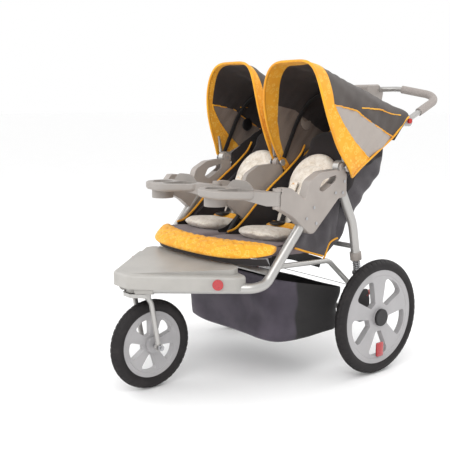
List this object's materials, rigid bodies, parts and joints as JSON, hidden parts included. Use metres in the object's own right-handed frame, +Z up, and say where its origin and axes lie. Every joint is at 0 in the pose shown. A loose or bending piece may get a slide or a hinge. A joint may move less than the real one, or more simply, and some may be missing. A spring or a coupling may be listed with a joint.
{
  "type": "jogging stroller",
  "caption": "Side-by-side jogging stroller for two children, with a swivelling front wheel, sprung rear axle, folding push bar, reclining seats, canopies, trays and a basket",
  "frame": {"origin": "on the floor, under the middle of the overall length and width", "axes": "+Z up, +Y rearward along the overall length, +X across to the children's left"},
  "size_m": [0.79, 1.2382, 1.0735],
  "materials": {
    "silver_paint": "satin silver paint",
    "chrome": "polished",
    "steel": "plated",
    "grey_plastic": "fine texture",
    "dark_plastic": "fine texture",
    "wheel_plastic": "satin",
    "tyre": "matte rubber",
    "red_plastic": "gloss",
    "foam": "closed-cell foam",
    "bow_steel": "black paint",
    "canopy_fabric": "woven",
    "visor_fabric": "printed weave",
    "seat_fabric": "woven",
    "fleece": "fleece"
  },
  "bodies": {
    "chassis": {"side_tube_left": "silver_paint", "side_tube_right": "silver_paint", "rear_leg_left": "silver_paint", "rear_leg_right": "silver_paint", "leg_collars": "grey_plastic", "lower_rails": "silver_paint", "cross_tubes": "silver_paint", "centre_post": "silver_paint", "steering_head": "dark_plastic", "footrest": "grey_plastic", "footrest_reflectors": "red_plastic", "side_plate_left": "grey_plastic", "side_plate_right": "grey_plastic", "plate_rivets": "steel", "centre_armrest": "grey_plastic", "seat_front_pad": "visor_fabric", "seat_base": "seat_fabric", "seat_cushions": "fleece", "seat_wings": "seat_fabric", "basket": "seat_fabric", "shock_springs": "steel"},
    "axle_unit": {"rear_axle": "steel", "axle_brackets": "grey_plastic", "shock_rods": "steel"},
    "brake_left": {"brake_pedal_left": "red_plastic"},
    "brake_right": {"brake_pedal_right": "red_plastic"},
    "rear_wheel_left": {"rear_tyre_left": "tyre", "rear_rim_left": "wheel_plastic", "hub_cap_left": "dark_plastic"},
    "rear_wheel_right": {"rear_tyre_right": "tyre", "rear_rim_right": "wheel_plastic", "hub_cap_right": "dark_plastic"},
    "fork_unit": {"fork": "chrome", "kingpin": "steel", "front_axle": "steel"},
    "front_wheel": {"front_tyre": "tyre", "front_rim": "wheel_plastic"},
    "upper_frame": {"upper_tube_left": "silver_paint", "upper_tube_right": "silver_paint", "hub_bolts": "steel", "canopy_shell_left": "canopy_fabric", "canopy_shell_right": "canopy_fabric"},
    "push_bar": {"handle_tube": "chrome", "grips": "foam", "console": "grey_plastic"},
    "button_left": {"handle_button_left": "red_plastic"},
    "button_right": {"handle_button_right": "red_plastic"},
    "canopy_left": {"canopy_visor_left": "visor_fabric", "front_bow_left": "bow_steel"},
    "canopy_right": {"canopy_visor_right": "visor_fabric", "front_bow_right": "bow_steel"},
    "bow_left": {"middle_bow_left": "bow_steel"},
    "bow_right": {"middle_bow_right": "bow_steel"},
    "back_left": {"seat_back_left": "seat_fabric", "back_cushion_left": "fleece"},
    "back_right": {"seat_back_right": "seat_fabric", "back_cushion_right": "fleece"},
    "tray_unit_left": {"tray_left": "grey_plastic"},
    "tray_unit_right": {"tray_right": "grey_plastic"}
  },
  "joints": [
    {"name": "fork_swivel", "type": "hinge", "parent": "chassis", "child": "fork_unit", "pos_m": [0, -0.52008, 0.33], "axis": [0, 0, 1], "continuous": true},
    {"name": "front_wheel_spin", "type": "hinge", "parent": "fork_unit", "child": "front_wheel", "pos_m": [0, -0.47008, 0.149], "axis": [1, 0, 0], "continuous": true},
    {"name": "rear_suspension", "type": "slide", "parent": "chassis", "child": "axle_unit", "axis": [0, -0.1773, 0.9842], "range_m": [0, 0.012], "stiffness_N_per_m": 16000, "springref_m": -0.028, "deforming": ["shock_springs"]},
    {"name": "rear_wheel_left_spin", "type": "hinge", "parent": "axle_unit", "child": "rear_wheel_left", "pos_m": [0.368, 0.21992, 0.2], "axis": [1, 0, 0], "continuous": true},
    {"name": "rear_wheel_right_spin", "type": "hinge", "parent": "axle_unit", "child": "rear_wheel_right", "pos_m": [-0.368, 0.21992, 0.2], "axis": [1, 0, 0], "continuous": true},
    {"name": "brake_left_press", "type": "hinge", "parent": "axle_unit", "child": "brake_left", "pos_m": [0.3, 0.23192, 0.262], "axis": [-1, 0, 0], "range_deg": [0, 18]},
    {"name": "brake_right_press", "type": "hinge", "parent": "axle_unit", "child": "brake_right", "pos_m": [-0.3, 0.23192, 0.262], "axis": [-1, 0, 0], "range_deg": [0, 18]},
    {"name": "frame_fold", "type": "hinge", "parent": "chassis", "child": "upper_frame", "pos_m": [0, 0.08892, 0.717], "axis": [1, 0, 0], "range_deg": [-74, 0]},
    {"name": "handle_tilt", "type": "hinge", "parent": "upper_frame", "child": "push_bar", "pos_m": [0, 0.43092, 0.865], "axis": [1, 0, 0], "range_deg": [-40, 35]},
    {"name": "handle_button_left_press", "type": "slide", "parent": "push_bar", "child": "button_left", "axis": [-1, 0, 0], "range_m": [0, 0.0038], "stiffness_N_per_m": 600, "springref_m": -0.004},
    {"name": "handle_button_right_press", "type": "slide", "parent": "push_bar", "child": "button_right", "axis": [1, 0, 0], "range_m": [0, 0.0038], "stiffness_N_per_m": 600, "springref_m": -0.004},
    {"name": "canopy_left_fold", "type": "hinge", "parent": "upper_frame", "child": "canopy_left", "pos_m": [0, 0.08892, 0.717], "axis": [1, 0, 0], "range_deg": [-64, 0]},
    {"name": "canopy_right_fold", "type": "hinge", "parent": "upper_frame", "child": "canopy_right", "pos_m": [0, 0.08892, 0.717], "axis": [1, 0, 0], "range_deg": [-64, 0]},
    {"name": "middle_bow_left_turn", "type": "hinge", "parent": "upper_frame", "child": "bow_left", "pos_m": [0, 0.08892, 0.717], "axis": [1, 0, 0], "range_deg": [-32, 0]},
    {"name": "middle_bow_right_turn", "type": "hinge", "parent": "upper_frame", "child": "bow_right", "pos_m": [0, 0.08892, 0.717], "axis": [1, 0, 0], "range_deg": [-32, 0]},
    {"name": "seat_left_recline", "type": "hinge", "parent": "chassis", "child": "back_left", "pos_m": [0.149, 0.17592, 0.44], "axis": [-1, 0, 0], "range_deg": [0, 25]},
    {"name": "seat_right_recline", "type": "hinge", "parent": "chassis", "child": "back_right", "pos_m": [-0.149, 0.17592, 0.44], "axis": [-1, 0, 0], "range_deg": [0, 25]},
    {"name": "tray_left_swing", "type": "hinge", "parent": "chassis", "child": "tray_unit_left", "pos_m": [0.303, -0.19208, 0.643], "axis": [0, 0, 1], "range_deg": [0, 70]},
    {"name": "tray_right_swing", "type": "hinge", "parent": "chassis", "child": "tray_unit_right", "pos_m": [0, -0.19208, 0.643], "axis": [0, 0, 1], "range_deg": [0, 32]}
  ],
  "couplings": [
    {"joint": "middle_bow_left_turn", "follows": "canopy_left_fold", "ratio": 0.5},
    {"joint": "middle_bow_right_turn", "follows": "canopy_right_fold", "ratio": 0.5}
  ]
}
